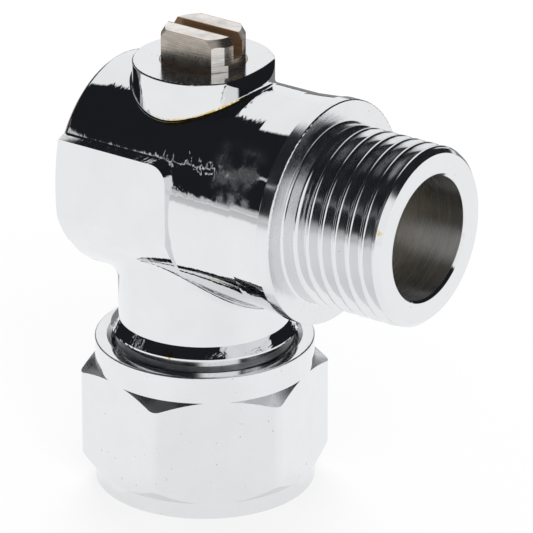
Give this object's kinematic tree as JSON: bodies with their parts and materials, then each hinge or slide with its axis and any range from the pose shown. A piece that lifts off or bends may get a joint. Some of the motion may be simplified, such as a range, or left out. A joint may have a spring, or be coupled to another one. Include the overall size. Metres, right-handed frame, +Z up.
{
  "type": "isolating valve",
  "caption": "Angled isolating ball valve in chromed brass, with a compression inlet and hexagon nut below, a male threaded outlet at the side and a screwdriver-slot spindle on top.",
  "frame": {"origin": "on the inlet axis at the foot of the compression nut, where the valve stands", "axes": "+Z up the inlet and spindle axis, +X out along the outlet"},
  "size_m": [0.045, 0.0282, 0.0559],
  "materials": {
    "chrome_plate": "polished plating",
    "spindle_nickel": "satin nickel, worn to brass at the edges",
    "ball_chrome": "polished",
    "seat_plastic": "smooth white",
    "bare_brass": "turned",
    "seal_rubber": "matt black"
  },
  "bodies": {
    "body": {"valve_body": "chrome_plate", "outlet_seat_ring": "seat_plastic", "back_seat_ring": "seat_plastic", "seat_retainer": "bare_brass", "thrust_washer": "seat_plastic"},
    "stem": {"spindle": "spindle_nickel", "spindle_o_ring_upper": "seal_rubber", "spindle_o_ring_lower": "seal_rubber", "ball": "ball_chrome"},
    "olive": {"olive": "bare_brass"},
    "nut": {"compression_nut": "chrome_plate"}
  },
  "joints": [
    {"name": "spindle_turn", "type": "hinge", "parent": "body", "child": "stem", "pos_m": [0, 0, 0.0375], "axis": [0, 0, 1], "continuous": true},
    {"name": "nut_travel", "type": "slide", "parent": "body", "child": "olive", "axis": [0, 0, -1], "range_m": [0, 0.00817]},
    {"name": "nut_turn", "type": "hinge", "parent": "olive", "child": "nut", "pos_m": [0, 0, 0], "axis": [0, 0, -1], "range_deg": [0, 1620]}
  ],
  "couplings": [
    {"joint": "nut_travel", "follows": "nut_turn", "m_per_rad": 0.00028871}
  ]
}
